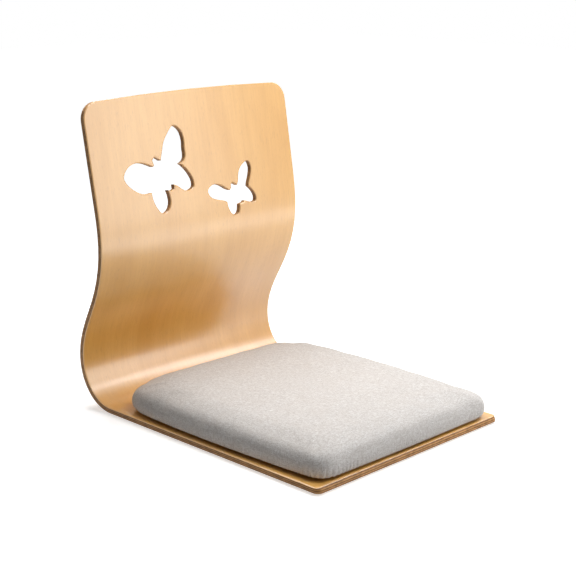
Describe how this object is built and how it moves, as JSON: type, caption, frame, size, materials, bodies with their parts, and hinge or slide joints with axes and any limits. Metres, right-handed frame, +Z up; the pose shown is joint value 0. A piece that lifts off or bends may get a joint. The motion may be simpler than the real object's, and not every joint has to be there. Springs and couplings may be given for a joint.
{
  "type": "legless floor chair",
  "caption": "Legless floor chair: a moulded plywood sheet forms seat and leaning back, with butterfly cut-outs, and a zipped cushion lifts off hook-and-loop patches.",
  "frame": {"origin": "middle of the bounding box, at its bottom: the floor under the felt pads", "axes": "+Z up, +Y from the seat's front edge towards the back, +X to the right as seen from the front"},
  "size_m": [0.421, 0.5166, 0.4881],
  "materials": {
    "lacquered_birch": "clear satin-gloss lacquer",
    "core_plies": "sanded and lacquered edge",
    "felt": "pressed felt",
    "cover_cloth": "plain-woven linen look",
    "foam": "open-cell foam",
    "hook_and_loop": "woven nylon",
    "zip_tape_and_coil": "woven tape and nylon coil",
    "zip_metal": "nickel-plated"
  },
  "bodies": {
    "shell": {"face_veneer_back": "lacquered_birch", "core_veneer_5": "core_plies", "core_veneer_4": "core_plies", "core_veneer_3": "core_plies", "core_veneer_2": "core_plies", "core_veneer_1": "core_plies", "face_veneer_front": "lacquered_birch", "felt_pad_front_left": "felt", "felt_pad_front_right": "felt", "felt_pad_rear_left": "felt", "felt_pad_rear_right": "felt", "hook_strip_front_left": "hook_and_loop", "hook_strip_front_right": "hook_and_loop", "hook_strip_rear_left": "hook_and_loop", "hook_strip_rear_right": "hook_and_loop"},
    "cushion": {"cover_top": "cover_cloth", "cover_base": "cover_cloth", "foam_pad": "foam", "loop_strip_front_left": "hook_and_loop", "loop_strip_front_right": "hook_and_loop", "loop_strip_rear_left": "hook_and_loop", "loop_strip_rear_right": "hook_and_loop", "zip_tape_upper": "zip_tape_and_coil", "zip_tape_lower": "zip_tape_and_coil", "zip_coil": "zip_tape_and_coil", "zip_stop_left": "zip_metal", "zip_stop_right": "zip_metal"},
    "zip_slider": {"zip_slider": "zip_metal"},
    "zip_pull": {"zip_pull": "zip_metal"}
  },
  "joints": [
    {"name": "cushion_lift", "type": "slide", "parent": "shell", "child": "cushion", "axis": [0, -0.5, 0.866], "range_m": [0, 0.6]},
    {"name": "zip_run", "type": "slide", "parent": "cushion", "child": "zip_slider", "axis": [-1, 0, 0], "range_m": [0, 0.2088]},
    {"name": "zip_pull_swing", "type": "hinge", "parent": "zip_slider", "child": "zip_pull", "pos_m": [0.1044, 0.18516, 0.0269], "axis": [0, 0, 1], "range_deg": [-180, 0]}
  ]
}
